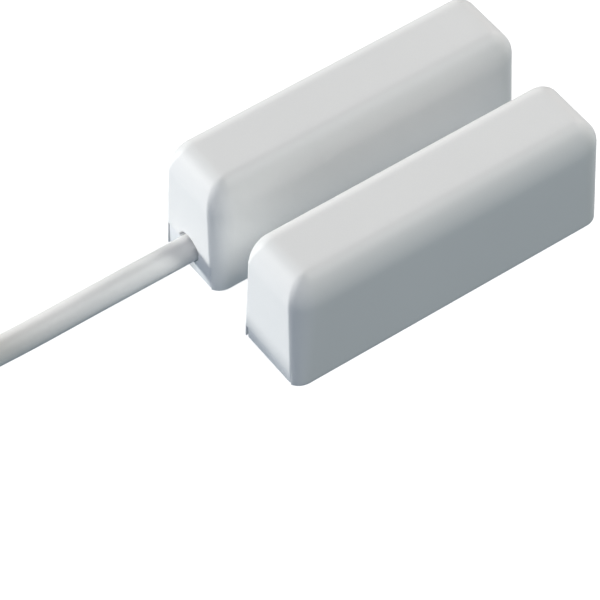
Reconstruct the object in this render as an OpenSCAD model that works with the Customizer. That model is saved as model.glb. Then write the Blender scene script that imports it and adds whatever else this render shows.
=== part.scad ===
// Surface-mounted door contact: a cabled reed switch unit and a magnet unit, side by side.
// X runs along the bars with the cable leaving towards -X, Y across them with the magnet unit
// towards -Y, and Z up from the mounting surface. The origin is the centre of the switch unit's
// mounting face.

/* [Housing] */
// Length of each bar at its foot
bar_l = 50; // [46:1:60]
// Width of each bar at its foot
bar_w = 12.6; // [12.4:0.2:16]
// Height of each bar
bar_h = 19; // [15.8:0.2:24]
// Thickness of the cover's side and end walls
wall = 1.3; // [1:0.1:1.4]
// Thickness of the cover's top
top_wall = 1.5; // [1.2:0.1:2]
// Radius of the upright corners at the foot
corner_r = 2.2; // [1.8:0.1:3]
// Rounding of the top edge, measured along the bar
end_round = 3.5; // [2.5:0.1:4]
// Rounding of the top edge, measured across the bar
side_round = 3; // [2.2:0.1:3.6]
// Rounding of the top edge, measured downwards
crown_round = 4.8; // [3:0.1:5.2]
// How far each end leans in from foot to crown
end_taper = 0.2; // [0.1:0.02:0.6]
// How far each side leans in from foot to crown
side_taper = 0.1; // [0.06:0.02:0.3]

/* [Placement] */
// Distance between the two bars' centre lines with the door shut
pitch = 19; // [17:0.1:26]
// How far the magnet unit sits back along X
magnet_shift = -0.7; // [-3:0.1:3]

/* [Bases] */
// Thickness of each base plate
plate_t = 2; // [1.8:0.1:2.6]
// Running clearance between a cover and its base
fit_gap = 0.15; // [0.1:0.01:0.2]
// How far a base plate's end sits behind the cover's end face
end_reveal = 0.2; // [0.1:0.05:0.4]
// Screw hole diameter
screw_d = 3.4; // [3:0.1:3.6]
// Countersink diameter
screw_head_d = 6.2; // [5.6:0.1:6.4]
// Distance from each end of a bar to the magnet base's screw holes
magnet_screw_inset = 6; // [5.8:0.1:6.1]
// Screw hole behind the cable clamp, along X
switch_screw_a = -10.5; // [-11:0.1:-10]
// Distance from the switch unit's blind end to its second screw hole
switch_screw_inset = 5; // [4.6:0.1:5.2]
// Height of the arms that guide the cover
arm_h = 4.5; // [3:0.1:6]
// Thickness of the guide arms
arm_t = 0.8; // [0.6:0.05:0.9]

/* [Cable] */
// Diameter of the cable's sheath
cable_d = 3.8; // [3.4:0.1:3.9]
// Height of the cable's centre above the mounting surface
cable_z = 3.65; // [3.4:0.05:3.8]
// Height of the end block that the cable passes through
block_h = 4.1; // [3.9:0.05:4.4]
// Length of the end block
block_l = 3.3; // [2.6:0.1:3.6]
// Diameter of one insulated core
core_d = 1; // [0.8:0.05:1.1]

/* [Circuit] */
// Board length
board_l = 21.5; // [21:0.1:22]
// Board width
board_w = 8.8; // [8.4:0.1:9]
// Board thickness
board_t = 1; // [0.8:0.1:1.6]
// Clear height under the board, above the base plate
board_lift = 3; // [2.6:0.1:3.4]
// Length of the reed switch's glass capsule
glass_l = 14; // [13:0.1:14.4]
// Diameter of the glass capsule
glass_d = 2.2; // [2:0.1:2.6]
// Diameter of a reed lead
lead_d = 0.6; // [0.5:0.05:0.7]
// Gap between the reed blades where they touch, left so that the solids stay apart
contact_gap = 0.02; // [0.02:0.01:0.1]

/* [Magnet] */
// Diameter of the magnet
magnet_d = 6; // [5:0.1:6.2]
// Length of the magnet
magnet_l = 28; // [24:0.5:28]

/* [Hidden] */
$fn = 48;

white = [0.88, 0.88, 0.88];
base_grey = [0.72, 0.73, 0.75];
cable_white = [0.80, 0.80, 0.80];
eps = 0.01;
past = 1;
hull_fn = 32;
foot_band = 0.5;

// Places that follow from the driving sizes
magnet_at = [magnet_shift, -pitch, 0];
plate_l = bar_l - 2 * end_reveal;
plate_w = bar_w - 2 * (wall + fit_gap);
plate_corner = 0.3;
window_h = plate_t + fit_gap;
cable_r = cable_d / 2;
block_x = -plate_l / 2;
cable_window_h = block_h + fit_gap;
arch_gap = 0.5;
arch_r = cable_r + arch_gap;
channel_r = cable_r + 0.1;
arm_l = 3;
arm_y = bar_w / 2 - wall - side_taper - fit_gap - arm_t / 2;
arm_x_cable = -14.5;
arm_inset = 5.5;
arm_x_blind = bar_l / 2 - arm_inset;
switch_screw_b = bar_l / 2 - switch_screw_inset;
magnet_screw_x = bar_l / 2 - magnet_screw_inset;
countersink_t = (screw_head_d - screw_d) / 2;

// Strain relief, just inside the end block
tie_w = 2.2;
tie_t = 0.65;
tie_gap = 0.3;
tie_x = block_x + block_l + tie_w / 2 + tie_gap;
tie_pocket = 0.25;
tie_head = [tie_w, 2.8, 1.6];
tie_head_sink = 0.2;
sheath_stub = 1.2;
sheath_end = tie_x + tie_w / 2 + sheath_stub;

// Board and reed
board_x = -5.5;
board_z = plate_t + board_lift;
board_top = board_z + board_t;
post_r = 1.3;
peg_r = 0.8;
peg_gap = 0.1;
peg_head = 0.5;
pegs = [[1.5, 2.7], [13, 2.7]];
posts = [[-4, -2.9], [-4, 2.9], [12, -3]];
reed_shift = 1.5;
reed_x = board_x + board_l / 2 + reed_shift;
reed_y = -2.2;
glass_lift = 0.5;
reed_z = board_top + glass_d / 2 + glass_lift;
glass_wall = 0.3;
seal_l = 2;
lead_out = 1.5;
lead_drop = 0.6;
lead_hole_gap = 0.15;
blade_w = 1;
blade_t = 0.2;
blade_gap = 0.02;
blade_overlap = 1.2;
cavity_half = glass_l / 2 - seal_l;
blade_l = cavity_half - blade_gap + blade_overlap / 2;
pad_inset = 1.3;
pad_x = board_x + pad_inset;
pad_pitch = 2.1;
solder_r = 0.75;
solder_tip_r = 0.4;
solder_h = 0.8;

// Cores: where each one starts in the sheath, and the lane that it takes past the screw hole
core_side = [-1, -1, 1, 1];
core_row = [0, 1, 1, 0];
core_spread = 0.62;
core_gap = 0.1;
core_straight = 0.7;
core_end_l = 0.5;
core_sink = 0.1;
lane_y = 3.05;
lane_z = plate_t + core_d / 2 + core_gap;
lane_step = core_d + core_gap;
climb_l = 3.2;
climb_lead = 1.2;

// The free cable lies straight behind the switch unit, then is folded into a tied hank
route = [
  [-30, 0, 3.65], [-40, 0, 3.65], [-50, 0, 3.6], [-58, 0.4, 3.4], [-66, 1.5, 3.1],
  [-74, 2.8, 2.8], [-82, 3.6, 2.7], [-88, 3.8, 2.7]
];
hank_x = -85;
hank_y = -11.4;
hank_run = 59.5;
hank_fold = 11.4;
hank_columns = 2;
hank_layers = 5;
hank_lift = 0.8;
hank_outer = hank_fold + (hank_columns - 0.5) * cable_d;
hank_inner = hank_fold - cable_d / 2;
hank_h = hank_layers * cable_d;
hank_top = hank_lift + hank_h;
hank_tie_w = 4;
hank_tie_offset = 6;
knot_d = 2.4;
knot_h = 1.2;
tail_x = hank_x - hank_run;
tail_y = hank_y - hank_fold;
tail_z = hank_top - cable_r;
tail_l = [34, 31, 33, 30];
tail_straight = 2;
tail_drop = 7;
tail_lift = 0.05;
tail_bow = 0.2;
tail_spread = 0.5;

// Magnet cradle
saddle_x = 9.5;
saddle_t = 3;
saddle_w = 8.8;
saddle_gap = 0.05;
saddle_over = 1.6;
saddle_mouth = magnet_d * 0.8;
stop_t = 1.2;
stop_w = 6;
stop_gap = 0.1;
stop_h = 4.5;
magnet_chamfer = 0.4;

// A tapered bar with upright corners at its foot and a rounded crown
module bar_shape(l, w, h, low_r, end_r, side_r, crown_r, foot) {
  hull() {
    for (sx = [-1, 1], sy = [-1, 1]) {
      translate([sx * (l / 2 - low_r), sy * (w / 2 - low_r), foot])
        cylinder(r = low_r, h = foot_band - foot, $fn = hull_fn);
      translate([sx * (l / 2 - end_taper - end_r), sy * (w / 2 - side_taper - side_r), h - crown_r])
        scale([end_r, side_r, crown_r]) sphere(r = 1, $fn = hull_fn);
    }
  }
}

// A cover: the bar hollowed out, with a window under each end wall for the base plate's ends
module cover_shell() {
  difference() {
    bar_shape(bar_l, bar_w, bar_h, corner_r, end_round, side_round, crown_round, 0);
    bar_shape(bar_l - 2 * wall, bar_w - 2 * wall, bar_h - top_wall, corner_r - wall,
              end_round - wall, side_round - wall, crown_round - top_wall, -past);
    for (sx = [-1, 1])
      translate([sx * bar_l / 2, 0, window_h / 2 - eps])
        cube([2 * corner_r + past, plate_w + 2 * fit_gap, window_h + 2 * eps], center = true);
  }
}

// A flat plate with rounded corners, from exact shapes
module rounded_plate(l, w, t, r) {
  linear_extrude(t) {
    square([l - 2 * r, w], center = true);
    square([l, w - 2 * r], center = true);
    for (sx = [-1, 1], sy = [-1, 1])
      translate([sx * (l / 2 - r), sy * (w / 2 - r)]) circle(r = r);
  }
}

// A countersunk screw hole through a base plate
module screw_hole(x) {
  translate([x, 0, -eps]) cylinder(d = screw_d, h = plate_t + 2 * eps);
  translate([x, 0, plate_t - countersink_t])
    cylinder(d1 = screw_d, d2 = screw_head_d + 2 * eps, h = countersink_t + eps);
}

// An upright arm that guides the cover's side wall
module guide_arms(x) {
  for (sy = [-1, 1])
    translate([x, sy * arm_y, plate_t + arm_h / 2 - eps]) cube([arm_l, arm_t, arm_h], center = true);
}

// A tube with flat ends, swept along points that never run straight up
function unit(v) = v / norm(v);
function heading(p, i) = unit(p[min(i + 1, len(p) - 1)] - p[max(i - 1, 0)]);
function ring(p, i, r, sides) =
  let (t = heading(p, i), a = unit(cross(t, [0, 0, 1])), b = cross(a, t))
  [for (k = [0:sides - 1]) p[i] + r * (cos(360 * k / sides) * a + sin(360 * k / sides) * b)];
module tube(p, r, sides) {
  n = len(p);
  points = [for (i = [0:n - 1]) each ring(p, i, r, sides)];
  walls = [
    for (i = [0:n - 2], k = [0:sides - 1])
      let (k2 = (k + 1) % sides)
      [i * sides + k, (i + 1) * sides + k, (i + 1) * sides + k2, i * sides + k2]
  ];
  near_end = [for (k = [0:sides - 1]) k];
  far_end = [for (k = [sides - 1:-1:0]) (n - 1) * sides + k];
  polyhedron(points = points, faces = concat(walls, [near_end], [far_end]), convexity = 4);
}

// ---- Switch unit ----

module switch_base() {
  color(base_grey) difference() {
    union() {
      rounded_plate(plate_l, plate_w, plate_t, plate_corner);
      intersection() {
        rounded_plate(plate_l, plate_w, block_h, plate_corner);
        translate([block_x, -plate_w / 2, 0]) cube([block_l, plate_w, block_h]);
      }
      for (p = posts)
        translate([p.x, p.y, plate_t - eps]) cylinder(r = post_r, h = board_lift + eps);
      for (p = pegs) {
        translate([p.x, p.y, plate_t - eps]) cylinder(r = post_r, h = board_lift + eps);
        translate([p.x, p.y, board_z - eps]) cylinder(r = peg_r, h = board_t + peg_head + eps);
      }
      guide_arms(arm_x_cable);
      guide_arms(arm_x_blind);
    }
    screw_hole(switch_screw_a);
    screw_hole(switch_screw_b);
    // Open channel that the cable lies in
    translate([block_x - past, 0, cable_z]) rotate([0, 90, 0])
      cylinder(r = channel_r, h = sheath_end - block_x + 2 * past);
    translate([block_x - past, -channel_r, cable_z])
      cube([block_l + 2 * past, 2 * channel_r, block_h]);
    // Pocket that lets the strain relief pass under the cable
    translate([tie_x - tie_w / 2 - tie_pocket, -cable_r - tie_t - tie_pocket,
               cable_z - cable_r - tie_t - tie_pocket])
      cube([tie_w + 2 * tie_pocket, cable_d + 2 * (tie_t + tie_pocket), plate_t]);
  }
}

module switch_cover() {
  color(white) difference() {
    cover_shell();
    translate([-bar_l / 2, 0, cable_window_h / 2])
      cube([2 * corner_r + past, plate_w + 2 * fit_gap, cable_window_h], center = true);
    translate([-bar_l / 2 - past, 0, cable_z]) rotate([0, 90, 0])
      cylinder(r = arch_r, h = wall + 2 * past);
  }
}

module circuit_board() {
  color([0.13, 0.38, 0.22]) difference() {
    translate([board_x, -board_w / 2, board_z]) cube([board_l, board_w, board_t]);
    for (p = pegs)
      translate([p.x, p.y, board_z - past]) cylinder(r = peg_r + peg_gap, h = board_t + 2 * past);
    for (side = [-1, 1])
      translate([reed_x + side * (glass_l / 2 + lead_out), reed_y, board_z - past])
        cylinder(r = lead_d / 2 + lead_hole_gap, h = board_t + 2 * past);
  }
}

module reed_glass() {
  color([0.75, 0.9, 0.85, 0.4])
    translate([reed_x - glass_l / 2, reed_y, reed_z]) rotate([0, 90, 0])
      difference() {
        cylinder(d = glass_d, h = glass_l);
        translate([0, 0, seal_l]) cylinder(d = glass_d - 2 * glass_wall, h = glass_l - 2 * seal_l);
        translate([0, 0, -past]) cylinder(d = lead_d, h = glass_l + 2 * past);
      }
}

// One lead: through the glass seal, out along the capsule's axis, and down through the board
module reed_lead(side) {
  color([0.76, 0.74, 0.68]) translate([reed_x, reed_y, reed_z]) {
    translate([side * (glass_l / 2 + lead_out), 0, 0]) {
      sphere(d = lead_d);
      translate([0, 0, board_z - lead_drop - reed_z])
        cylinder(d = lead_d, h = reed_z - board_z + lead_drop);
    }
    translate([side * (cavity_half + (seal_l + lead_out) / 2), 0, 0]) rotate([0, 90, 0])
      cylinder(d = lead_d, h = seal_l + lead_out, center = true);
  }
}
module reed_lead_left() { reed_lead(-1); }
module reed_lead_right() { reed_lead(1); }

// One flat springy blade inside the capsule; the left one lies above the right one
module reed_blade(side) {
  color([0.82, 0.8, 0.7])
    translate([reed_x + side * (cavity_half - blade_gap - blade_l / 2), reed_y,
               reed_z - side * (contact_gap + blade_t) / 2])
      cube([blade_l, blade_w, blade_t], center = true);
}
module reed_blade_left() { reed_blade(-1); }
module reed_blade_right() { reed_blade(1); }

module solder_joint(x, y, bore) {
  translate([x, y, board_top]) difference() {
    cylinder(r1 = solder_r, r2 = solder_tip_r, h = solder_h);
    if (bore > 0) translate([0, 0, -past]) cylinder(d = bore, h = solder_h + 2 * past);
  }
}
module solder_joints() {
  color([0.78, 0.79, 0.8]) {
    for (i = [0:3]) solder_joint(pad_x, pad_y(i), 0);
    for (side = [-1, 1]) solder_joint(reed_x + side * (glass_l / 2 + lead_out), reed_y, lead_d);
  }
}

// Core i runs from the sheath's end, along a lane beside the screw hole, and up onto its pad on the
// board. The upper core of each lane climbs first, so that the two stay apart.
function pad_y(i) = (i - 1.5) * pad_pitch;
function core_start(i) =
  [0, core_side[i] * core_spread, (core_row[i] - 0.5) * 2 * core_spread];
function core_path(i) =
  let (
    s = [sheath_end, 0, cable_z] + core_start(i),
    lane = [0, core_side[i] * lane_y, lane_z + core_row[i] * lane_step],
    climb_x = board_x - climb_l - core_row[i] * climb_lead,
    over = board_top + core_d / 2 + core_gap
  )
  [
    s, s + [core_straight, 0, 0],
    [switch_screw_a - screw_head_d / 2, lane.y, lane.z], [climb_x, lane.y, lane.z],
    [climb_x + climb_l / 3, (2 * lane.y + pad_y(i)) / 3, (2 * lane.z + over) / 3],
    [climb_x + climb_l * 2 / 3, (lane.y + 2 * pad_y(i)) / 3, (lane.z + 2 * over) / 3],
    [climb_x + climb_l, pad_y(i), over], [pad_x - core_end_l, pad_y(i), over],
    [pad_x, pad_y(i), over - core_sink]
  ];
module core(i, tint) { color(tint) tube(core_path(i), core_d / 2, 8); }
module core_red() { core(0, [0.75, 0.1, 0.1]); }
module core_black() { core(1, [0.1, 0.1, 0.1]); }
module core_yellow() { core(2, [0.9, 0.78, 0.1]); }
module core_blue() { core(3, [0.12, 0.25, 0.65]); }

// A small cable tie round the sheath, which stops against the end block
module strain_relief_tie() {
  color([0.85, 0.85, 0.82]) translate([tie_x, 0, cable_z]) {
    rotate([0, 90, 0]) difference() {
      cylinder(r = cable_r + tie_t, h = tie_w, center = true);
      cylinder(r = cable_r, h = tie_w + past, center = true);
    }
    translate([-tie_w / 2, -tie_head.y / 2, cable_r + tie_t - tie_head_sink]) cube(tie_head);
  }
}

// ---- Cable ----

module cable_sheath() {
  start = [[sheath_end, 0, cable_z]];
  color(cable_white) tube(concat(start, route), cable_r, 8);
}

// An outline with straight runs and round ends
module stadium(r) {
  translate([-hank_run / 2, 0]) circle(r = r);
  translate([hank_run / 2, 0]) circle(r = r);
  square([hank_run, 2 * r], center = true);
}

// The folded cable as one solid of its outer shape, with the last column left open for the tails
module cable_hank() {
  color(cable_white) difference() {
    translate([hank_x - hank_run / 2, hank_y, hank_lift]) linear_extrude(hank_h) difference() {
      stadium(hank_outer);
      stadium(hank_inner);
    }
    translate([tail_x, tail_y - cable_r, hank_top - cable_d])
      cube([hank_run, cable_d, cable_d + past]);
  }
}

// A flat tie round the middle of the hank, twisted together on top
module hank_tie() {
  color([0.15, 0.15, 0.15]) translate([hank_x - hank_run / 2 + hank_tie_offset, hank_y, 0]) {
    difference() {
      translate([-hank_tie_w / 2, -hank_outer - hank_lift, 0])
        cube([hank_tie_w, 2 * (hank_outer + hank_lift), hank_top + hank_lift]);
      translate([-hank_tie_w / 2 - past, -hank_outer, hank_lift])
        cube([hank_tie_w + 2 * past, 2 * hank_outer, hank_h]);
    }
    translate([0, 0, hank_top + hank_lift - eps]) cylinder(d = knot_d, h = knot_h);
  }
}

// The four cores, bare of sheath, beyond the hank's last turn
function tail_path(i) =
  let (
    s = [tail_x, tail_y, tail_z] + core_start(i),
    rest = hank_top - cable_d + core_d / 2 + tail_lift + core_row[i] * (core_d + core_gap)
  )
  [
    s, s + [tail_straight, 0, 0], [s.x + tail_drop, s.y, rest],
    [s.x + tail_l[i] / 2, s.y + core_side[i] * tail_bow, rest],
    [s.x + tail_l[i], s.y + core_side[i] * tail_spread, rest]
  ];
module tail(i, tint) { color(tint) tube(tail_path(i), core_d / 2, 8); }
module tail_red() { tail(0, [0.75, 0.1, 0.1]); }
module tail_black() { tail(1, [0.1, 0.1, 0.1]); }
module tail_yellow() { tail(2, [0.9, 0.78, 0.1]); }
module tail_blue() { tail(3, [0.12, 0.25, 0.65]); }

// ---- Magnet unit ----

module magnet_base() {
  color(base_grey) translate(magnet_at) difference() {
    union() {
      rounded_plate(plate_l, plate_w, plate_t, plate_corner);
      for (sx = [-1, 1]) {
        translate([sx * saddle_x, 0, plate_t - eps])
          translate([-saddle_t / 2, -saddle_w / 2, 0])
            cube([saddle_t, saddle_w, reed_z + saddle_over - plate_t]);
        translate([sx * (magnet_l / 2 + stop_gap + stop_t / 2), 0, plate_t + stop_h / 2 - eps])
          cube([stop_t, stop_w, stop_h], center = true);
        guide_arms(sx * arm_x_blind);
      }
    }
    for (sx = [-1, 1]) screw_hole(sx * magnet_screw_x);
    // Round seat with an open mouth that the magnet snaps down into
    translate([0, 0, reed_z]) rotate([0, 90, 0])
      cylinder(r = magnet_d / 2 + saddle_gap, h = magnet_l + 2 * stop_gap, center = true);
    translate([-magnet_l / 2, -saddle_mouth / 2, reed_z])
      cube([magnet_l, saddle_mouth, magnet_d]);
  }
}

module magnet_cover() {
  color(white) translate(magnet_at) cover_shell();
}

module bar_magnet() {
  color([0.5, 0.5, 0.52]) translate(magnet_at + [0, 0, reed_z]) rotate([0, 90, 0]) {
    cylinder(d = magnet_d, h = magnet_l - 2 * magnet_chamfer, center = true);
    for (sz = [-1, 1])
      translate([0, 0, sz * (magnet_l - magnet_chamfer) / 2]) rotate([sz < 0 ? 180 : 0, 0, 0])
        cylinder(d1 = magnet_d, d2 = magnet_d - 2 * magnet_chamfer, h = magnet_chamfer, center = true);
  }
}

switch_base();
switch_cover();
circuit_board();
reed_glass();
reed_lead_left();
reed_lead_right();
reed_blade_left();
reed_blade_right();
solder_joints();
core_red();
core_black();
core_yellow();
core_blue();
strain_relief_tie();
cable_sheath();
cable_hank();
hank_tie();
tail_red();
tail_black();
tail_yellow();
tail_blue();
magnet_base();
magnet_cover();
bar_magnet();
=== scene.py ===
from math import asin, cos, degrees, pi, radians, sin, sqrt

import bmesh
import bpy
from mathutils import Matrix, Vector


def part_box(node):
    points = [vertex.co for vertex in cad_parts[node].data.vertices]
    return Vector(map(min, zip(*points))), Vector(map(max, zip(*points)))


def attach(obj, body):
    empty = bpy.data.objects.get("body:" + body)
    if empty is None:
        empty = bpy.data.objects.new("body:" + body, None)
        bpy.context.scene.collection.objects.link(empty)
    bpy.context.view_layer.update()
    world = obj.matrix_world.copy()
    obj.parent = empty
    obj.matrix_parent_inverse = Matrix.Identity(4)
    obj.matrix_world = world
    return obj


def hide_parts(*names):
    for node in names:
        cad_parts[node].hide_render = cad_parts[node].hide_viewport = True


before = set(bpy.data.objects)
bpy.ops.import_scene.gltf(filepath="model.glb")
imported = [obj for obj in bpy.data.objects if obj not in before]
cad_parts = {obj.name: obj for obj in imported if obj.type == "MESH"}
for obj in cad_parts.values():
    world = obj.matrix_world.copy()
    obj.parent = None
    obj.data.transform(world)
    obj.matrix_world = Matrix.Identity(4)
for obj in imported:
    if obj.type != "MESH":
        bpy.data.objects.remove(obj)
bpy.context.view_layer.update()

# ---- The table, the light and the camera ----
# A pale table under four soft round lamps. The strongest stands low, beyond the cable end and a
# little behind. The others fill the front, the left and the far end, and the table throws a faint
# bluish light back up.
studio = bpy.context.scene
studio.view_settings.view_transform = "Standard"

room = bpy.data.worlds.new("pale_room")
room.use_nodes = True
sky = room.node_tree.nodes["Background"].inputs
sky["Color"].default_value, sky["Strength"].default_value = (0.9, 1.0, 1.1, 1), 0.02
studio.world = room

looked_at = Vector((-0.005, -0.0095, 0.0095))
lamp_distance, lamp_size = 0.8, 0.22


def soft_lamp(name, heading, watts, tint):
    """A round lamp out along a heading, turned to face the object."""
    lamp = bpy.data.lights.new(name, "AREA")
    lamp.shape, lamp.size, lamp.energy, lamp.color = "DISK", lamp_size, watts, tint
    stand = bpy.data.objects.new(name, lamp)
    out = Vector(heading).normalized()
    stand.location = looked_at + out * lamp_distance
    stand.rotation_euler = out.to_track_quat("Z", "Y").to_euler()
    studio.collection.objects.link(stand)


soft_lamp("window_lamp", (-0.61, 0.78, 0.139), 6.35, (1.01, 1.01, 0.98))
soft_lamp("front_lamp", (0.455, -0.455, 0.766), 3.0, (1.0, 1.02, 0.98))
soft_lamp("left_lamp", (-0.853, -0.15, 0.5), 2.0, (0.94, 0.98, 1.08))
soft_lamp("far_lamp", (0.852, 0.31, 0.423), 2.5, (1.04, 0.98, 0.98))

table_top = bpy.data.meshes.new("table_top")
table_half, table_drop = 3, 0.00003
table_top.from_pydata([(sx * table_half, sy * table_half, 0)
                       for sx, sy in ((-1, -1), (1, -1), (1, 1), (-1, 1))], [], [(0, 1, 2, 3)])
table = bpy.data.objects.new("table_top", table_top)
table.location.z = -table_drop
studio.collection.objects.link(table)
paper = bpy.data.materials.new("white_card")
paper.use_nodes = True
card = paper.node_tree
card.nodes.clear()
seen_white = card.nodes.new("ShaderNodeEmission")
seen_white.inputs["Color"].default_value = (1, 1, 1, 1)
seen_white.inputs["Strength"].default_value = 0.86
lit_white = card.nodes.new("ShaderNodeBsdfDiffuse")
lit_white.inputs["Color"].default_value = (0.42, 0.42, 0.42, 1)
both = card.nodes.new("ShaderNodeAddShader")
cool_glow = card.nodes.new("ShaderNodeEmission")
cool_glow.inputs["Color"].default_value = (0.72, 1.0, 1.21, 1)
cool_glow.inputs["Strength"].default_value = 0.22
who_looks = card.nodes.new("ShaderNodeLightPath")
choice = card.nodes.new("ShaderNodeMixShader")
card_out = card.nodes.new("ShaderNodeOutputMaterial")
card.links.new(seen_white.outputs[0], both.inputs[0])
card.links.new(lit_white.outputs[0], both.inputs[1])
card.links.new(who_looks.outputs["Is Camera Ray"], choice.inputs[0])
card.links.new(cool_glow.outputs[0], choice.inputs[1])
card.links.new(both.outputs[0], choice.inputs[2])
card.links.new(choice.outputs[0], card_out.inputs[0])
table_top.materials.append(paper)

eye = bpy.data.cameras.new("eye")
eye.sensor_width, eye.lens, eye.clip_start = 36, 216.083, 0.01
camera = bpy.data.objects.new("eye", eye)
across = Vector((0.81295, -0.58233, -0.00207))
downwards = Vector((-0.45296, -0.63011, -0.63071))
away = Vector((0.36597, 0.51367, -0.77602))
turn = Matrix((across, -downwards, -away)).transposed().to_4x4()
camera.matrix_world = Matrix.Translation((-0.18962, -0.25633, 0.36719)) @ turn
studio.collection.objects.link(camera)
studio.camera = camera

# ---- Cable ----
# A round four-core alarm cable in a soft grey-white PVC sheath. It runs straight out of the low
# arch in the end wall, and its spare length is folded into a hank beside the object.
MM = 0.001
sheath_r, cable_z = 1.9, 3.65
sheath_end = -17.8
hank_start, hank_run, hank_mid = -85.0, 59.5, -11.4
fold_r, lowest_turn = 11.4, 2.7
lead_in = [
    (sheath_end, 0, cable_z), (-30, 0, cable_z), (-40, 0, cable_z), (-50, 0, 3.6), (-58, 0.4, 3.4),
    (-66, 1.5, 3.1), (-74, 2.8, 2.8), (-82, 3.6, 2.7), (-85, 3.8, 2.7),
]
# Each turn's column, inner or outer, and its layer
turns = [(1, 0), (0, 0), (0, 1), (1, 1), (1, 2), (0, 2), (0, 3), (1, 3), (1, 4), (0, 4)]
run_steps, fold_steps = 6, 18


def smooth_line(points, steps):
    """More points along a smooth curve through the given ones."""
    p = [Vector(q) for q in points]
    p = [2 * p[0] - p[1]] + p + [2 * p[-1] - p[-2]]
    line = []
    for a, b, c, d in zip(p, p[1:], p[2:], p[3:]):
        for k in range(steps):
            t = k / steps
            line.append(0.5 * (2 * b + (c - a) * t + (2 * a - 5 * b + 4 * c - d) * t * t
                               + (3 * b - a - 3 * c + d) * t ** 3))
    return line + [p[-2]]


def rounded_line(points):
    """The given line with its corners cut three times over."""
    p = [Vector(q) for q in points]
    for _ in range(3):
        cut = [p[0]]
        for a, b in zip(p, p[1:]):
            cut += [a * 0.75 + b * 0.25, a * 0.25 + b * 0.75]
        p = cut + [p[-1]]
    return p


def put(name, data, body, nodes=()):
    """Adds a finished mesh or curve as a piece that rides on a body."""
    piece = bpy.data.objects.new(name, data)
    studio.collection.objects.link(piece)
    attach(piece, body)
    if nodes:
        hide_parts(*nodes)
    return piece


def wire(name, points, radius):
    """A round wire along the points, in millimetres."""
    curve = bpy.data.curves.new(name, "CURVE")
    curve.dimensions = "3D"
    spline = curve.splines.new("POLY")
    spline.points.add(len(points) - 1)
    for at, p in zip(spline.points, points):
        at.co = (*(Vector(p) * MM), 1)
    curve.bevel_depth, curve.bevel_resolution, curve.use_fill_caps = radius * MM, 6, True
    return curve


def turn_at(k):
    """A turn's radius and height."""
    column, layer = turns[k]
    return fold_r + 2 * sheath_r * column, lowest_turn + 2 * sheath_r * layer


def hank_line():
    """The folded spare length: out along one side, round the far fold, back, and up to the next."""
    far = hank_start - hank_run
    line = []
    for k in range(len(turns)):
        r, z = turn_at(k)
        line += [(hank_start - hank_run * s / run_steps, hank_mid + r, z)
                 for s in range(1, run_steps)]
        for s in range(fold_steps + 1):
            a = pi / 2 + pi * s / fold_steps
            line.append((far + r * cos(a), hank_mid + r * sin(a), z))
        if k + 1 == len(turns):
            break
        line += [(far + hank_run * s / run_steps, hank_mid - r, z) for s in range(1, run_steps)]
        r2, z2 = turn_at(k + 1)
        for s in range(fold_steps + 1):
            a, t = -pi / 2 + pi * s / fold_steps, s / fold_steps
            t = t * t * (3 - 2 * t)
            reach = r + (r2 - r) * t
            line.append((hank_start + reach * cos(a), hank_mid + reach * sin(a), z + (z2 - z) * t))
    return line


def finish_tree(name):
    """A material with its nodes, its Principled shader and the place on the piece."""
    material = bpy.data.materials.new(name)
    material.use_nodes = True
    tree = material.node_tree
    place = tree.nodes.new("ShaderNodeTexCoord")
    return material, tree, tree.nodes["Principled BSDF"], place.outputs["Object"]


def fine_grain():
    """Node group: drifting shade, roughness and height of a moulded or drawn skin."""
    group = bpy.data.node_groups.new("fine_grain", "ShaderNodeTree")
    face = group.interface
    face.new_socket("Place", in_out="INPUT", socket_type="NodeSocketVector")
    for label in ("Tone", "Deep Tone"):
        face.new_socket(label, in_out="INPUT", socket_type="NodeSocketColor")
    for label in ("Drift Scale", "Grain Scale", "Roughness", "Roughness Spread"):
        face.new_socket(label, in_out="INPUT", socket_type="NodeSocketFloat")
    face.new_socket("Color", in_out="OUTPUT", socket_type="NodeSocketColor")
    face.new_socket("Roughness", in_out="OUTPUT", socket_type="NodeSocketFloat")
    face.new_socket("Height", in_out="OUTPUT", socket_type="NodeSocketFloat")
    new, join = group.nodes.new, group.links.new
    given, made = new("NodeGroupInput"), new("NodeGroupOutput")
    drift, grain = new("ShaderNodeTexNoise"), new("ShaderNodeTexNoise")
    drift.inputs["Detail"].default_value = 3
    grain.inputs["Detail"].default_value = 2
    join(given.outputs["Place"], drift.inputs["Vector"])
    join(given.outputs["Place"], grain.inputs["Vector"])
    join(given.outputs["Drift Scale"], drift.inputs["Scale"])
    join(given.outputs["Grain Scale"], grain.inputs["Scale"])
    shade = new("ShaderNodeMath")
    shade.operation = "MULTIPLY_ADD"
    shade.inputs[1].default_value = 0.35
    join(grain.outputs["Fac"], shade.inputs[0])
    join(drift.outputs["Fac"], shade.inputs[2])
    spread = new("ShaderNodeMapRange")
    spread.inputs["From Min"].default_value = 0.4
    spread.inputs["From Max"].default_value = 0.95
    join(shade.outputs[0], spread.inputs["Value"])
    mix = new("ShaderNodeMix")
    mix.data_type = "RGBA"
    join(spread.outputs[0], mix.inputs["Factor"])
    join(given.outputs["Tone"], mix.inputs["A"])
    join(given.outputs["Deep Tone"], mix.inputs["B"])
    join(mix.outputs["Result"], made.inputs["Color"])
    rough = new("ShaderNodeMath")
    rough.operation = "MULTIPLY_ADD"
    join(spread.outputs[0], rough.inputs[0])
    join(given.outputs["Roughness Spread"], rough.inputs[1])
    join(given.outputs["Roughness"], rough.inputs[2])
    join(rough.outputs[0], made.inputs["Roughness"])
    join(grain.outputs["Fac"], made.inputs["Height"])
    return group


grain_group = fine_grain()


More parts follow.
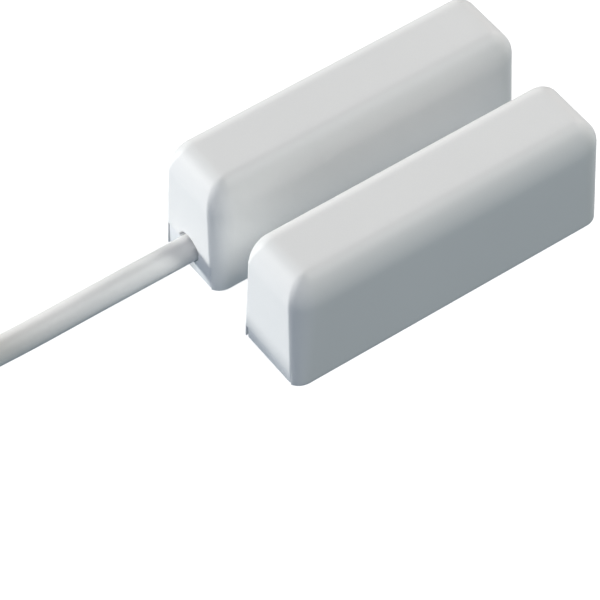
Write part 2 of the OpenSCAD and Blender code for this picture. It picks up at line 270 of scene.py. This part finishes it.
def grained(name, tone, deep, drift, grain, rough, spread, depth):
    """A material with the fine grain group, its relief depth in millimetres."""
    material, tree, shader, place = finish_tree(name)
    skin = tree.nodes.new("ShaderNodeGroup")
    skin.node_tree = grain_group
    skin.inputs["Tone"].default_value = (*tone, 1)
    skin.inputs["Deep Tone"].default_value = (*deep, 1)
    skin.inputs["Drift Scale"].default_value = drift
    skin.inputs["Grain Scale"].default_value = grain
    skin.inputs["Roughness"].default_value = rough
    skin.inputs["Roughness Spread"].default_value = spread
    relief = tree.nodes.new("ShaderNodeBump")
    relief.inputs["Distance"].default_value = depth * MM
    join = tree.links.new
    join(place, skin.inputs["Place"])
    join(skin.outputs["Color"], shader.inputs["Base Color"])
    join(skin.outputs["Roughness"], shader.inputs["Roughness"])
    join(skin.outputs["Height"], relief.inputs["Height"])
    join(relief.outputs["Normal"], shader.inputs["Normal"])
    return material, shader


sheath_pvc, shader = grained(
    "sheath_pvc", (0.86, 0.855, 0.85), (0.82, 0.815, 0.81), 90, 1400, 0.45, 0.1, 0.03)
shader.inputs["Specular IOR Level"].default_value = 0.45
cable_curve = wire("cable_sheath_round", smooth_line(lead_in, 5) + hank_line(), sheath_r)
cable_curve.materials.append(sheath_pvc)
cable = put("cable_sheath_round", cable_curve, "switch_unit",
            ("cable_sheath", "cable_hank"))

# ---- Core tails ----
# Past the last turn the sheath is stripped and its four insulated cores lie along the hank, each
# with a few millimetres of tinned strand bared by the cutters.
core_r, strand_r, bared = 0.5, 0.32, 5.0
core_spread = 0.62
core_side, core_row = (-1, -1, 1, 1), (0, 1, 1, 0)
core_names = ("red", "black", "yellow", "blue")
core_tones = ((0.62, 0.02, 0.02), (0.012, 0.012, 0.013), (0.85, 0.62, 0.02), (0.02, 0.07, 0.5))
tail_start = Vector((-144.5, -22.8, 17.9))
tail_lengths = (34, 31, 33, 30)
tail_rest, row_rise = 16.55, 1.1


def core_finish(i):
    """Glossy core insulation in one of the four colours, a little darker in places."""
    tone = core_tones[i]
    deep = tuple(0.82 * c for c in tone)
    material, shader = grained("core_pvc_" + core_names[i], tone, deep, 300, 2600, 0.3, 0.08, 0.01)
    shader.inputs["Coat Weight"].default_value = 0.15
    return material


core_pvc = [core_finish(i) for i in range(4)]
tinned, shader = grained(
    "tinned_copper", (0.74, 0.73, 0.7), (0.6, 0.57, 0.52), 500, 4000, 0.24, 0.15, 0.02)
shader.inputs["Metallic"].default_value = 1


def split_line(points, bare):
    """The insulated part of a wire's line and the bare length at its end."""
    left, cut = bare, len(points) - 1
    while left > 0 and cut > 1:
        left -= (points[cut] - points[cut - 1]).length
        cut -= 1
    return points[:cut + 1], points[cut:]


def join_wires(name, lines, radius):
    """Several short wires as one curve."""
    curve = wire(name, lines[0], radius)
    for line in lines[1:]:
        spline = curve.splines.new("POLY")
        spline.points.add(len(line) - 1)
        for at, p in zip(spline.points, line):
            at.co = (*(Vector(p) * MM), 1)
    return curve


tails, bare_ends = [], []
for i in range(4):
    s = tail_start + Vector((0, core_side[i], core_row[i] * 2 - 1)) * core_spread
    rest = tail_rest + core_row[i] * row_rise
    half, whole = s.x + tail_lengths[i] / 2, s.x + tail_lengths[i]
    line = smooth_line(
        [s, s + Vector((2, 0, 0)), (s.x + 7, s.y, rest), (half, s.y + core_side[i] * 0.2, rest),
         (whole, s.y + core_side[i] * 0.5, rest)], 12)
    covered, bare = split_line(line, bared)
    curve = wire("tail_" + core_names[i] + "_insulation", covered, core_r)
    curve.materials.append(core_pvc[i])
    tails.append(put(curve.name, curve, "switch_unit",
                     ("tail_" + core_names[i],)))
    bare_ends.append(bare)
curve = join_wires("tail_strands", bare_ends, strand_r)
curve.materials.append(tinned)
tails.append(put("tail_strands", curve, "switch_unit"))

# ---- Hank tie ----
# A black plastic-coated twist tie, a flat ribbon with a wire down its middle, round the hank near
# its far end. Its two ends are twisted together on top.
ribbon_half, ribbon_top, ribbon_corner, ribbon_inset = 2.0, 20.6, 2.6, 0.8
twist_r, twist_rise, twist_taper, twist_turn = 0.42, 1.4, 0.2, 2.5 * pi
twist_foot, end_r, end_sides, end_steps = 0.5, 0.36, 10, 24
tie_lo, tie_hi = [Vector(p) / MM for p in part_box("hank_tie")]
tie_mid = (tie_lo + tie_hi) / 2


def rounded_loop(half_w, low, high, corner, steps):
    """Points and outward headings round an upright loop."""
    loop = []
    for sy, sz, start in ((1, 1, 0), (-1, 1, 90), (-1, -1, 180), (1, -1, 270)):
        cy = sy * (half_w - corner)
        cz = (high if sz > 0 else low) - sz * corner
        for k in range(steps + 1):
            a = radians(start + 90 * k / steps)
            loop.append((Vector((0, cy, cz)), Vector((0, cos(a), sin(a)))))
    return loop


def sheet_of(rings, closed=True, caps=False):
    """A mesh from rings of points, each joined to the next."""
    bm = bmesh.new()
    rows = [[bm.verts.new(p) for p in ring] for ring in rings]
    n, last = len(rows[0]), len(rows) if closed else len(rows) - 1
    for i in range(last):
        a, b = rows[i], rows[(i + 1) % len(rows)]
        for k in range(n):
            bm.faces.new((a[k], a[(k + 1) % n], b[(k + 1) % n], b[k]))
    if caps:
        bm.faces.new(rows[0])
        bm.faces.new(rows[-1][::-1])
    bmesh.ops.recalc_face_normals(bm, faces=bm.faces)
    return bm


def finished_mesh(name, bm, sharp=40):
    """Millimetres to metres, smooth shading with sharp corners kept."""
    bmesh.ops.scale(bm, vec=(MM, MM, MM), verts=bm.verts)
    mesh = bpy.data.meshes.new(name)
    bm.to_mesh(mesh)
    bm.free()
    mesh.shade_smooth()
    mesh.set_sharp_from_angle(angle=radians(sharp))
    return mesh


# The ribbon's section: across it, and out from the loop's line, with the wire's rib in the middle
ribbon_side = [(-ribbon_half, 0.1), (-ribbon_half, 0.3), (-ribbon_half + 0.15, 0.42), (-0.7, 0.42),
               (-0.35, 0.66), (0, 0.74), (0.35, 0.66), (0.7, 0.42), (ribbon_half - 0.15, 0.42),
               (ribbon_half, 0.3), (ribbon_half, 0.1), (ribbon_half - 0.1, 0.04),
               (-ribbon_half + 0.1, 0.04)]
loop = rounded_loop(tie_hi.y - tie_mid.y - ribbon_inset, ribbon_inset, ribbon_top - ribbon_inset,
                    ribbon_corner, 8)
rings = [[(tie_mid.x + x, tie_mid.y + c.y + out.y * (ribbon_corner + d),
           c.z + out.z * (ribbon_corner + d)) for x, d in ribbon_side] for c, out in loop]
tie_mesh = sheet_of(rings)
for side in (0, 1):
    rope = []
    for k in range(end_steps + 1):
        t = k / end_steps
        a, reach = pi * side + twist_turn * t, twist_r * (1 - twist_taper * t)
        middle = Vector((tie_mid.x + reach * cos(a), tie_mid.y + reach * sin(a),
                         ribbon_top - twist_foot + twist_rise * t))
        outward, up = Vector((cos(a), sin(a), 0)), Vector((-sin(a), cos(a), 0.7)).normalized()
        across_it = outward.cross(up)
        rope.append([middle + end_r * (outward * cos(b) + across_it * sin(b))
                     for b in [2 * pi * m / end_sides for m in range(end_sides)]])
    part = sheet_of(rope, closed=False, caps=True)
    spare = bpy.data.meshes.new("spare")
    part.to_mesh(spare)
    part.free()
    tie_mesh.from_mesh(spare)
    bpy.data.meshes.remove(spare)
tie_coat = grained("black_tie_plastic", (0.02, 0.02, 0.022), (0.035, 0.035, 0.037), 200, 3000,
                   0.42, 0.1, 0.015)[0]
mesh = finished_mesh("hank_twist_tie", tie_mesh)
mesh.materials.append(tie_coat)
hank_tie = put("hank_twist_tie", mesh, "switch_unit", ("hank_tie",))

# ---- Bases ----
# Two flat base plates moulded in ABS, only a shade greyer than the covers. Every edge has the small
# radius that the mould leaves, and the screw holes are countersunk.
base_edge_r = 0.1
base_abs = grained(
    "base_abs", (0.79, 0.80, 0.815), (0.75, 0.76, 0.775), 70, 5200, 0.5, 0.1, 0.02)[0]


def softened(node, name, radius):
    """A copy of a CAD node's mesh with its sharp edges rounded."""
    flat, sharp, merge, shortest = 1.0, 35, 0.002, 0.05
    bm = bmesh.new()
    bm.from_mesh(bpy.data.objects[node].data)
    bmesh.ops.scale(bm, vec=(1 / MM, 1 / MM, 1 / MM), verts=bm.verts)
    bmesh.ops.remove_doubles(bm, verts=bm.verts, dist=merge)
    bmesh.ops.dissolve_limit(bm, angle_limit=radians(flat), verts=bm.verts, edges=bm.edges)
    edges = [e for e in bm.edges if len(e.link_faces) == 2
             and degrees(e.calc_face_angle(0)) > sharp and e.calc_length() > shortest]
    bmesh.ops.bevel(bm, geom=edges, offset=radius, segments=2, profile=0.5, affect="EDGES",
                    clamp_overlap=True)
    return finished_mesh(name, bm)


for node, body in (("switch_base", "switch_unit"), ("magnet_base", "magnet_unit")):
    mesh = softened(node, node + "_moulding", base_edge_r)
    mesh.materials.append(base_abs)
    put(node + "_moulding", mesh, body, (node,))

# ---- Circuit board ----
# A small glass-fibre board under green solder mask, pushed down over two pegs. Copper tracks under
# the mask join the tinned pads: one pair of wires to the reed, and a tamper loop for the other.
pad_x, pad_pitch = -4.2, 2.1
pad_y = [(i - 1.5) * pad_pitch for i in range(4)]
board_top = 6.0
reed_x, reed_y, reed_z = 6.75, -2.2, 7.6
lead_reach = 8.5
reed_holes = [(reed_x - lead_reach, reed_y), (reed_x + lead_reach, reed_y)]
pad_r, pad_hole_r, pad_t, pad_sink = 0.95, 0.3, 0.04, 0.005
track_w, track_t, track_sink, track_crown = 0.55, 0.03, 0.01, 0.86


def assign(node, material):
    """Gives a CAD node's object a better material."""
    slots = bpy.data.objects[node].data.materials
    slots.clear()
    slots.append(material)


board_mask, shader = grained(
    "board_mask", (0.018, 0.11, 0.045), (0.014, 0.085, 0.035), 260, 1800, 0.28, 0.12, 0.01)
tree = board_mask.node_tree
skin = next(n for n in tree.nodes if n.type == "GROUP")
facing = tree.nodes.new("ShaderNodeTexCoord")
axes = tree.nodes.new("ShaderNodeSeparateXYZ")
upright = tree.nodes.new("ShaderNodeMath")
upright.operation = "ABSOLUTE"
flat_face = tree.nodes.new("ShaderNodeMath")
flat_face.operation = "GREATER_THAN"
flat_face.inputs[1].default_value = 0.6
weave = tree.nodes.new("ShaderNodeTexWave")
weave.inputs["Scale"].default_value = 1100
weave.inputs["Distortion"].default_value = 2
weave_tone = tree.nodes.new("ShaderNodeMix")
weave_tone.data_type = "RGBA"
weave_tone.inputs["A"].default_value = (0.46, 0.42, 0.24, 1)
weave_tone.inputs["B"].default_value = (0.36, 0.34, 0.19, 1)
board_tone = tree.nodes.new("ShaderNodeMix")
board_tone.data_type = "RGBA"
join = tree.links.new
join(facing.outputs["Normal"], axes.inputs[0])
join(axes.outputs["Z"], upright.inputs[0])
join(upright.outputs[0], flat_face.inputs[0])
join(facing.outputs["Object"], weave.inputs["Vector"])
join(weave.outputs["Fac"], weave_tone.inputs["Factor"])
join(flat_face.outputs[0], board_tone.inputs["Factor"])
join(weave_tone.outputs["Result"], board_tone.inputs["A"])
join(skin.outputs["Color"], board_tone.inputs["B"])
join(board_tone.outputs["Result"], shader.inputs["Base Color"])
assign("circuit_board", board_mask)

track_mask = grained(
    "track_mask", (0.03, 0.2, 0.085), (0.025, 0.16, 0.07), 260, 1800, 0.25, 0.1, 0.01)[0]
tracks = [
    [(pad_x, pad_y[0]), (pad_x + 1.2, pad_y[0] - 0.55), (reed_holes[1][0] - 1.3, pad_y[0] - 0.55),
     reed_holes[1]],
    [(pad_x, pad_y[1]), (pad_x + 1.3, pad_y[1]), reed_holes[0]],
    [(pad_x, pad_y[2]), (pad_x + 2.2, pad_y[2]), (pad_x + 3.4, pad_y[2] + 1.0),
     (pad_x + 2.4, pad_y[3]), (pad_x, pad_y[3])],
]
bm = bmesh.new()
for track in tracks:
    line = [Vector((x, y, 0)) for x, y in track]
    sides = []
    for k, p in enumerate(line):
        ahead = (line[min(k + 1, len(line) - 1)] - p).normalized()
        behind = (p - line[max(k - 1, 0)]).normalized()
        along = (ahead + behind).normalized()
        wide = along.cross(Vector((0, 0, 1))) * track_w / 2 / max(along.dot(ahead or behind), 0.7)
        sides.append([bm.verts.new(p + s * wide + Vector((0, 0, board_top + h)))
                      for s, h in ((-1, -track_sink), (1, -track_sink), (track_crown, track_t),
                                   (-track_crown, track_t))])
    for a, b in zip(sides, sides[1:]):
        for k in range(4):
            bm.faces.new((a[k], a[(k + 1) % 4], b[(k + 1) % 4], b[k]))
    bm.faces.new(sides[0])
    bm.faces.new(sides[-1][::-1])
bmesh.ops.recalc_face_normals(bm, faces=bm.faces)
mesh = finished_mesh("board_tracks", bm)
mesh.materials.append(track_mask)
put("board_tracks", mesh, "switch_unit")


def lathe(profile, steps, middle, upright=True):
    """Rings of a turned shape about an upright or a lengthways axis, from (along, radius) pairs."""
    rings = []
    for along, r in profile:
        ring = []
        for k in range(steps):
            a = 2 * pi * k / steps
            side, other = r * cos(a), r * sin(a)
            p = Vector((side, other, along)) if upright else Vector((along, side, other))
            ring.append(p + Vector(middle))
        rings.append(ring)
    return rings


def add_rings(bm, rings, closed=False):
    """Joins rings into a skin and adds it to a mesh."""
    part = sheet_of(rings, closed=closed, caps=not closed)
    spare = bpy.data.meshes.new("spare")
    part.to_mesh(spare)
    part.free()
    bm.from_mesh(spare)
    bpy.data.meshes.remove(spare)


joints = [(pad_x, y) for y in pad_y] + reed_holes
bm = bmesh.new()
for x, y in joints:
    add_rings(bm, lathe([(0.0, pad_r), (pad_t * 0.7, pad_r), (pad_t, pad_r - 0.05),
                         (pad_t, pad_hole_r), (0.0, pad_hole_r)], 32,
                        (x, y, board_top - pad_sink)), closed=True)
mesh = finished_mesh("board_pads", bm)
mesh.materials.append(tinned)
put("board_pads", mesh, "switch_unit")

# ---- Solder joints ----
# A concave cone of soft solder wets each pad and climbs the wire in it, bright and slightly
# rippled where it froze.
solder, shader = grained(
    "soft_solder", (0.72, 0.73, 0.75), (0.6, 0.61, 0.63), 700, 5200, 0.16, 0.14, 0.03)
shader.inputs["Metallic"].default_value = 1
fillet_h, fillet_neck, fillet_spread, fillet_steps = 0.8, 0.36, 0.39, 10
fillet = [(fillet_h * k / fillet_steps, fillet_neck + fillet_spread * (1 - k / fillet_steps) ** 2.2)
          for k in range(fillet_steps)] + [(0.77, 0.35), (fillet_h, 0.28)]
bm = bmesh.new()
for x, y in joints:
    add_rings(bm, lathe(fillet, 32, (x, y, board_top)))
mesh = finished_mesh("solder_fillets", bm)
mesh.materials.append(solder)
put("solder_fillets", mesh, "switch_unit", ("solder_joints",))

# ---- Reed switch ----
# Two flat nickel-iron blades sealed into the ends of a pale green glass tube, their plated tips
# overlapping at the middle. The round tails of the blades are bent down through the board.
glass_half, glass_r, seal_l, bore = 7.0, 1.1, 2.0, 0.3
reed_glass = bpy.data.materials.new("reed_glass_green")
reed_glass.use_nodes = True
shader = reed_glass.node_tree.nodes["Principled BSDF"]
shader.inputs["Base Color"].default_value = (0.72, 0.93, 0.83, 1)
shader.inputs["Transmission Weight"].default_value = 1
shader.inputs["IOR"].default_value = 1.5
wave = reed_glass.node_tree.nodes.new("ShaderNodeTexNoise")
wave.inputs["Scale"].default_value = 500
wave_span = reed_glass.node_tree.nodes.new("ShaderNodeMapRange")
wave_span.inputs["To Min"].default_value = 0.01
wave_span.inputs["To Max"].default_value = 0.06
reed_glass.node_tree.links.new(wave.outputs["Fac"], wave_span.inputs["Value"])
reed_glass.node_tree.links.new(wave_span.outputs[0], shader.inputs["Roughness"])
half_outside = [(glass_half, bore), (glass_half, 0.42), (glass_half - 0.08, 0.62),
                (glass_half - 0.3, 0.84), (glass_half - 0.65, 1.0), (glass_half - 1.1, 1.075),
                (glass_half - 1.6, glass_r)]
cavity = glass_half - seal_l
half_inside = [(cavity, bore), (cavity - 0.05, 0.5), (cavity - 0.3, 0.7), (cavity - 0.8, 0.8)]
profile = [(-x, r) for x, r in half_outside] + half_outside[::-1]
profile += half_inside + [(-x, r) for x, r in half_inside[::-1]]
bm = bmesh.new()
add_rings(bm, lathe(profile, 40, (reed_x, reed_y, reed_z), upright=False), closed=True)
mesh = finished_mesh("reed_capsule", bm)
mesh.materials.append(reed_glass)
put("reed_capsule", mesh, "switch_unit", ("reed_glass",))

for node in ("reed_lead_left", "reed_lead_right"):
    assign(node, tinned)
plated, shader = grained(
    "plated_blade", (0.62, 0.6, 0.56), (0.5, 0.48, 0.44), 400, 4200, 0.22, 0.12, 0.012)
shader.inputs["Metallic"].default_value = 1
tree = plated.node_tree
skin = next(n for n in tree.nodes if n.type == "GROUP")
where = tree.nodes.new("ShaderNodeTexCoord")
axes = tree.nodes.new("ShaderNodeSeparateXYZ")
from_tip = tree.nodes.new("ShaderNodeMath")
from_tip.operation = "SUBTRACT"
from_tip.inputs[1].default_value = reed_x * MM
gold_l, gold_fade = 1.2, 0.4
how_far = tree.nodes.new("ShaderNodeMath")
how_far.operation = "ABSOLUTE"
tip = tree.nodes.new("ShaderNodeMapRange")
tip.inputs["From Min"].default_value = gold_l * MM
tip.inputs["From Max"].default_value = (gold_l + gold_fade) * MM
gold_or_not = tree.nodes.new("ShaderNodeMix")
gold_or_not.data_type = "RGBA"
gold_or_not.inputs["A"].default_value = (0.83, 0.6, 0.25, 1)
join = tree.links.new
join(where.outputs["Object"], axes.inputs[0])
join(axes.outputs["X"], from_tip.inputs[0])
join(from_tip.outputs[0], how_far.inputs[0])
join(how_far.outputs[0], tip.inputs["Value"])
join(tip.outputs[0], gold_or_not.inputs["Factor"])
join(skin.outputs["Color"], gold_or_not.inputs["B"])
join(gold_or_not.outputs["Result"], shader.inputs["Base Color"])
for node in ("reed_blade_left", "reed_blade_right"):
    assign(node, plated)

# ---- Cores ----
# Inside the housing the four cores leave the sheath, run down a lane each side of the screw hole,
# and climb onto their pads, where their strands are bared and soldered.
lane_y, lane_z = 3.05, 2.6
screw_side = -13.6
board_edge, climb_l, climb_lead = -5.5, 3.2, 1.2
over_board = 6.6
strands = []
for i in range(4):
    s = Vector((sheath_end, 0, cable_z))
    s += Vector((0, core_side[i], core_row[i] * 2 - 1)) * core_spread
    y, z = core_side[i] * lane_y, lane_z + core_row[i] * row_rise
    climb = board_edge - climb_l - core_row[i] * climb_lead
    points = [s, s + Vector((0.7, 0, 0)), (screw_side, y, z), (climb, y, z)]
    points += [(climb + climb_l * t, y + (pad_y[i] - y) * t, z + (over_board - z) * t)
               for t in (1 / 3, 2 / 3)]
    points += [(climb + climb_l, pad_y[i], over_board), (pad_x - 0.9, pad_y[i], over_board)]
    curve = wire("core_" + core_names[i] + "_insulation", rounded_line(points), core_r)
    curve.materials.append(core_pvc[i])
    put(curve.name, curve, "switch_unit", ("core_" + core_names[i],))
    strands.append(rounded_line([(pad_x - 1.1, pad_y[i], over_board),
                                 (pad_x - 0.4, pad_y[i], over_board - 0.02),
                                 (pad_x, pad_y[i], over_board - 0.2),
                                 (pad_x + 0.1, pad_y[i], over_board - 0.5)]))
curve = join_wires("core_strands", strands, strand_r)
curve.materials.append(tinned)
put("core_strands", curve, "switch_unit")

# ---- Strain relief ----
# A small nylon cable tie pulled tight round the sheath behind the end block. Its toothed strap
# passes through the square head, and the spare end is snipped off.
tie_x, strap_in, strap_out, strap_edge = -20.1, 1.9, 2.52, 2.4
strap_half, band_half, tooth_half, tooth_h, teeth = 1.1, 1.0, 0.6, 0.07, 90
tooth_root = strap_out - 0.12
nylon, shader = grained(
    "natural_nylon", (0.76, 0.75, 0.69), (0.7, 0.69, 0.63), 300, 3200, 0.34, 0.12, 0.015)
shader.inputs["Subsurface Weight"].default_value = 0.15
shader.inputs["Subsurface Scale"].default_value = 0.0005
rings = []
for k in range(teeth * 2):
    a = pi * k / teeth
    crest = tooth_root + (tooth_h if k % 2 else 0.0)
    half = [(tooth_half, crest), (tooth_half, strap_out), (band_half, strap_out),
            (strap_half, strap_edge), (strap_half, strap_in + 0.05), (band_half, strap_in)]
    rings.append([(tie_x + x, r * cos(a), cable_z + r * sin(a))
                  for x, r in [(-x, r) for x, r in half[::-1]] + half])
bm = sheet_of(rings)
# The head, the snipped end standing out of one side, and the pawl's lip on the other
for size, middle, soft in (((2.2, 2.8, 1.6), (tie_x, 0, 6.8), 0.22),
                           ((1.7, 1.3, 0.5), (tie_x, 1.7, 6.6), 0.1),
                           ((1.2, 0.3, 0.25), (tie_x, -1.42, 6.95), 0.06)):
    block = bmesh.ops.create_cube(bm, size=1)["verts"]
    bmesh.ops.scale(bm, vec=size, verts=block)
    bmesh.ops.translate(bm, vec=middle, verts=block)
    edges = {e for v in block for e in v.link_edges}
    bmesh.ops.bevel(bm, geom=list(edges), offset=soft, segments=3, profile=0.5, affect="EDGES")
mesh = finished_mesh("strain_relief_strap", bm)
mesh.materials.append(nylon)
put("strain_relief_strap", mesh, "switch_unit", ("strain_relief_tie",))

# ---- Magnet ----
# A cast alnico bar magnet, ground round and chamfered at both ends, snapped down into its saddles.
# The grinding leaves fine rings, and the cast grain shows as darker pits.
ground_alnico, shader = grained(
    "ground_alnico", (0.36, 0.355, 0.35), (0.2, 0.195, 0.19), 350, 3800, 0.34, 0.2, 0.02)
shader.inputs["Metallic"].default_value = 1
tree = ground_alnico.node_tree
relief = next(n for n in tree.nodes if n.type == "BUMP")
rings_of = tree.nodes.new("ShaderNodeTexWave")
rings_of.bands_direction = "X"
rings_of.inputs["Scale"].default_value = 900
rings_of.inputs["Distortion"].default_value = 1.5
rings_of.inputs["Detail"].default_value = 2
ring_relief = tree.nodes.new("ShaderNodeBump")
ring_depth = 0.008
ring_relief.inputs["Distance"].default_value = ring_depth * MM
where = next(n for n in tree.nodes if n.type == "TEX_COORD")
tree.links.new(where.outputs["Object"], rings_of.inputs["Vector"])
tree.links.new(rings_of.outputs["Fac"], ring_relief.inputs["Height"])
tree.links.new(relief.outputs["Normal"], ring_relief.inputs["Normal"])
tree.links.new(ring_relief.outputs["Normal"], shader.inputs["Normal"])
assign("bar_magnet", ground_alnico)

# ---- Covers ----
# Each cover is one deep, thin-walled ABS moulding with upright rounded corners and a softly
# crowned top. It has a window under each end wall for the base plate, and the switch unit's has an
# arch for the cable. Beside the end walls each corner starts with a fine crease.
bar_l, bar_w, bar_h = 50.0, 12.6, 19.0
wall, top_wall = 1.3, 1.5
low_r, end_round, side_round, crown_round = 2.2, 3.5, 3.0, 4.8
end_lean, side_lean = 0.2, 0.1
foot_band = 0.5
jamb_y = 5.0
plain_window, cable_window = 2.15, 4.25
arch_r, arch_steps = 2.4, 20
edge_r = 0.12
# The crease: how far round the corner it lies, and how wide the small facet across it is
crease, crease_r = radians(22), 0.14
arc_in, arc_out, side_steps, partner_step = 4, 7, 22, 0.25
low_rows, wall_rows, crown_rows = 3, 9, 14
least_r, end_margin, top_inset, top_narrowing = 0.25, 0.3, 0.6, 0.86
arch_edge = asin((cable_window - cable_z) / arch_r)
arch_ys = [arch_r * cos(arch_edge + (pi - 2 * arch_edge) * k / arch_steps)
           for k in range(arch_steps + 1)]
shoulder = bar_h - crown_round


def section(inner, z, lift):
    """Half sizes and corner radii of the cover's outline at a height, outside or inside."""
    inset = wall if inner else 0
    l, w = bar_l / 2 - inset, bar_w / 2 - inset
    low, ex, ey = low_r - inset, end_round - inset, side_round - inset
    t = min(max((z - foot_band) / (shoulder - foot_band), 0), 1)
    hx, hy = l - end_lean * t, w - side_lean * t
    rx, ry = low + (ex - low) * t, low + (ey - low) * t
    if lift > 0:
        k = max(cos(lift), 0)
        hx, hy = hx - ex + ex * k, hy - ey + ey * k
        rx, ry = max(ex * k, least_r), max(ey * k, least_r)
    return hx, hy, rx, ry


def columns():
    """Each upright line of the cover: its kind, its end or side, and its place along that."""
    quarter = range(-1, arc_in + arc_out + 1)
    line = []
    for sx, ys in ((1, arch_ys[::-1]), (-1, arch_ys)):
        sy = sx
        line += [("corner", sx, -sy, k) for k in quarter[::-1]]
        line += [("end", sx, y) for y in ys]
        line += [("corner", sx, sy, k) for k in quarter]
        line += [("side", sy, sx, k) for k in range(1, side_steps)]
    return line


lines = columns()


def window_top(kind, cable_arch):
    """How high the window reaches at this upright line, and whether the line is in the window."""
    sx = kind[2] if kind[0] == "side" else kind[1]
    here, there = [cable_window if cable_arch and end < 0 else plain_window for end in (sx, -sx)]
    if kind[0] == "side":
        return here + (there - here) * kind[3] / side_steps, False
    if kind[0] == "corner":
        return here, kind[3] <= arc_in
    if cable_arch and sx < 0:
        return cable_z + sqrt(max(arch_r ** 2 - kind[2] ** 2, 0)), True
    return here, True


def point_at(kind, inner, z, lift=0.0, height=None):
    """A point of the outer or inner skin on an upright line, at a height or a turn of the crown."""
    hx, hy, rx, ry = section(inner, z, lift)
    base_hy, base_ry = section(False, z, 0)[1::2]
    split = asin(min((jamb_y - (base_hy - base_ry)) / base_ry, 1))
    span = partner_step * arc_out if inner else 0
    if kind[0] == "end":
        x, y = kind[1] * hx, max(min(kind[2], hy - end_margin), -hy + end_margin)
    elif kind[0] == "side":
        reach = hx - rx - span
        x, y = kind[2] * reach * (1 - 2 * kind[3] / side_steps), kind[1] * hy
    else:
        _, sx, sy, k = kind
        start = 0 if inner else crease * max(cos(lift), 0) ** 2
        if inner:
            a = pi / 2 * min(max(k, 0) / arc_in, 1)
            run = partner_step * max(k - arc_in, 0)
        else:
            a = start + (split - start) * max(k, 0) / arc_in if k <= arc_in else (
                split + (pi / 2 - split) * (k - arc_in) / arc_out)
            run = 0
        x = sx * (hx - rx + rx * cos(a) / cos(start) - run)
        y = sy * (hy - ry + ry * sin(a) - (crease_r if k < 0 else 0))
    return x, y, height if height is not None else z


def cover_mesh(name, at, cable_arch):
    """The outer and inner skins, joined round the foot and round both windows."""
    bm = bmesh.new()
    skins = []
    for inner in (False, True):
        top, deep = (bar_h - top_wall, crown_round - top_wall) if inner else (bar_h, crown_round)
        grid = []
        for kind in lines:
            opening, _ = window_top(kind, cable_arch)
            zs = [opening * k / low_rows for k in range(low_rows)]
            zs += [opening + (shoulder - opening) * k / wall_rows for k in range(wall_rows + 1)]
            column = [point_at(kind, inner, z) for z in zs]
            for k in range(1, crown_rows + 1):
                lift = pi / 2 * k / crown_rows
                column.append(point_at(kind, inner, shoulder, lift, top - deep + deep * sin(lift)))
            grid.append([bm.verts.new(p) for p in column])
        skins.append(grid)
    count = len(lines)
    in_window = [window_top(kind, cable_arch)[1] for kind in lines]
    rounded = []
    for grid, flip in zip(skins, (False, True)):
        for j in range(count):
            a, b = grid[j], grid[(j + 1) % count]
            open_here = in_window[j] and in_window[(j + 1) % count]
            for k in range(low_rows if open_here else 0, len(a) - 1):
                quad = (a[k], b[k], b[k + 1], a[k + 1])
                bm.faces.new(quad[::-1] if flip else quad)
        # A flat top: one ring set in from the crown's edge, then a single face
        rim = [column[-1] for column in grid]
        inset = []
        for v in rim:
            x = v.co.x
            if abs(x) > bar_l * 0.4:
                x -= top_inset if x > 0 else -top_inset
            inset.append(bm.verts.new((x, v.co.y * top_narrowing, v.co.z)))
        for j in range(count):
            quad = (rim[j], rim[(j + 1) % count], inset[(j + 1) % count], inset[j])
            bm.faces.new(quad[::-1] if flip else quad)
        bm.faces.new(inset[::-1] if flip else inset)
    outer, inside = skins
    for j in range(count):
        n = (j + 1) % count
        row = low_rows if in_window[j] and in_window[n] else 0
        bm.faces.new((outer[j][row], inside[j][row], inside[n][row], outer[n][row]))
        rounded += [(outer[j][row], outer[n][row]), (inside[j][row], inside[n][row])]
        for here, other in ((j, n), (n, j)):
            if in_window[here] and not in_window[other]:
                for k in range(low_rows):
                    bm.faces.new((outer[here][k], outer[here][k + 1], inside[here][k + 1],
                                  inside[here][k]))
                    rounded.append((outer[here][k], outer[here][k + 1]))
                    rounded.append((inside[here][k], inside[here][k + 1]))
    bmesh.ops.recalc_face_normals(bm, faces=bm.faces)
    edges = [bm.edges.get(pair) for pair in rounded]
    bmesh.ops.bevel(bm, geom=[e for e in edges if e], offset=edge_r, segments=3, profile=0.5,
                    affect="EDGES", clamp_overlap=True)
    bmesh.ops.translate(bm, vec=at, verts=bm.verts)
    return finished_mesh(name, bm, 50)


cover_abs, shader = grained(
    "cover_abs", (0.84, 0.842, 0.84), (0.80, 0.803, 0.803), 45, 6500, 0.5, 0.1, 0.012)
shader.inputs["Specular IOR Level"].default_value = 0.4
magnet_lo, magnet_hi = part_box("magnet_cover")
magnet_at = Vector([(magnet_lo[k] + magnet_hi[k]) / 2 / MM for k in (0, 1)] + [0])
for name, node, body, at, arch in (
        ("switch_cover_shell", "switch_cover", "switch_lid", Vector((0, 0, 0)), True),
        ("magnet_cover_shell", "magnet_cover", "magnet_lid", magnet_at, False)):
    mesh = cover_mesh(name, at, arch)
    mesh.materials.append(cover_abs)
    put(name, mesh, body, (node,))
